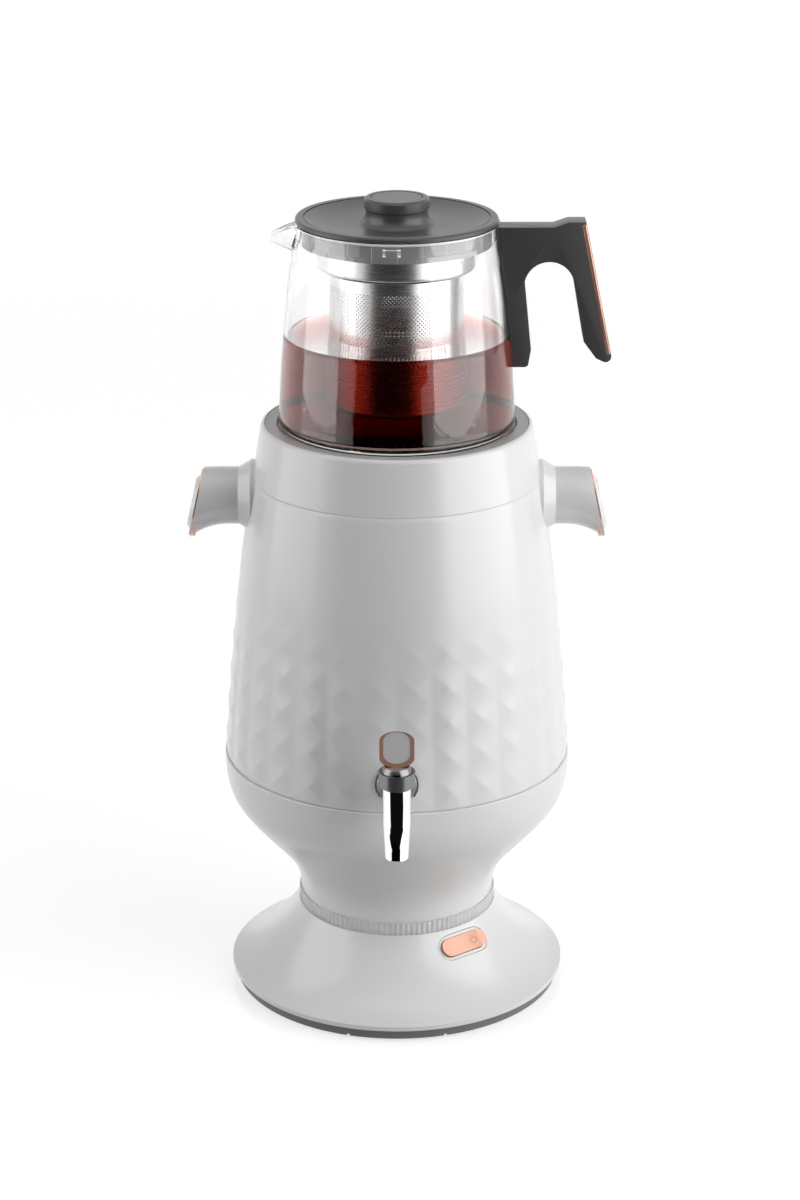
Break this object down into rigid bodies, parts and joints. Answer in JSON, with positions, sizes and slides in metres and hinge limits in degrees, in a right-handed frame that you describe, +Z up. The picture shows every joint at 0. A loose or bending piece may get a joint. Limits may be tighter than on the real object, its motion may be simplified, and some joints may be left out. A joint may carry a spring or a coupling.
{
  "type": "electric samovar",
  "caption": "Electric samovar with a white faceted urn, a lever tap, a rocker switch and a glass teapot with an infuser on top.",
  "frame": {"origin": "on the urn's upright axis, in the plane of the underside of the rubber foot ring", "axes": "+Z up along the urn's axis, -Y the side with the tap, +X the side with the teapot's handle"},
  "size_m": [0.2386, 0.2419, 0.4681],
  "materials": {
    "white_gloss": "gloss",
    "grey_plastic": "satin",
    "rubber": "matte",
    "steel": "satin",
    "clear_ribbed": "frosted",
    "board_green": "matte",
    "brushed_steel": "brushed",
    "silicone": "matte",
    "aluminium": "matte",
    "dark_satin": "satin",
    "rose_gold": "polished",
    "chrome": "polished",
    "satin_metal": "satin",
    "pearl_grey": "gloss",
    "glass": "clear",
    "smoked_plastic": "translucent"
  },
  "bodies": {
    "urn": {"base_shell": "white_gloss", "bottom_cover": "grey_plastic", "foot_ring": "rubber", "base_screws": "steel", "cord_gland": "grey_plastic", "light_ring": "clear_ribbed", "light_board": "board_green", "lower_shell": "white_gloss", "upper_shell": "white_gloss", "collar": "white_gloss", "water_tank": "brushed_steel", "tank_seal": "silicone", "seat_ring": "grey_plastic", "heating_plate": "aluminium", "heating_element": "steel", "thermostat": "dark_satin", "side_handle_left": "white_gloss", "side_handle_right": "white_gloss", "handle_trim_left": "rose_gold", "handle_trim_right": "rose_gold", "handle_insert_left": "white_gloss", "handle_insert_right": "white_gloss", "handle_screws": "steel", "tap_body": "chrome", "tap_escutcheon": "satin_metal", "tap_washers": "silicone", "tap_nut": "steel", "tap_bonnet": "satin_metal", "tap_pivot_pin": "steel", "tap_spring": "steel", "switch_housing": "grey_plastic"},
    "tap_lever": {"tap_lever": "satin_metal", "tap_lever_trim": "rose_gold", "tap_lever_insert": "pearl_grey", "tap_link_pin": "steel"},
    "tap_valve": {"tap_stem": "steel", "tap_plug": "silicone"},
    "switch": {"switch_rocker": "rose_gold"},
    "teapot": {"teapot_glass": "glass", "teapot_handle": "dark_satin", "teapot_handle_trim": "rose_gold"},
    "lid": {"lid_plate": "dark_satin", "lid_knob": "dark_satin", "knob_cap": "dark_satin", "knob_screw": "steel", "lid_skirt": "smoked_plastic", "lid_seal": "silicone"},
    "infuser": {"infuser_collar": "brushed_steel", "infuser_basket": "brushed_steel"}
  },
  "joints": [
    {"name": "tap_pull", "type": "hinge", "parent": "urn", "child": "tap_lever", "pos_m": [0, -0.131, 0.181], "axis": [1, 0, 0], "range_deg": [0, 25], "stiffness_Nm_per_rad": 0.15},
    {"name": "valve_lift", "type": "slide", "parent": "urn", "child": "tap_valve", "axis": [0, 0, 1], "range_m": [0, 0.00144], "deforming": ["tap_spring"]},
    {"name": "switch_rock", "type": "hinge", "parent": "urn", "child": "switch", "pos_m": [0.03737, -0.04835, 0.03728], "axis": [-0.4171, 0.5396, 0.7314], "range_deg": [0, 8]},
    {"name": "teapot_lift", "type": "slide", "parent": "urn", "child": "teapot", "axis": [0, 0, 1], "range_m": [0, 0.06]},
    {"name": "lid_lift", "type": "slide", "parent": "teapot", "child": "lid", "axis": [0, 0, 1], "range_m": [0, 0.115]},
    {"name": "infuser_turn", "type": "hinge", "parent": "lid", "child": "infuser", "pos_m": [0, 0, 0.444], "axis": [0, 0, 1], "range_deg": [0, 25]}
  ],
  "couplings": [
    {"joint": "tap_pull", "follows": "valve_lift", "rad_per_m": 303}
  ]
}
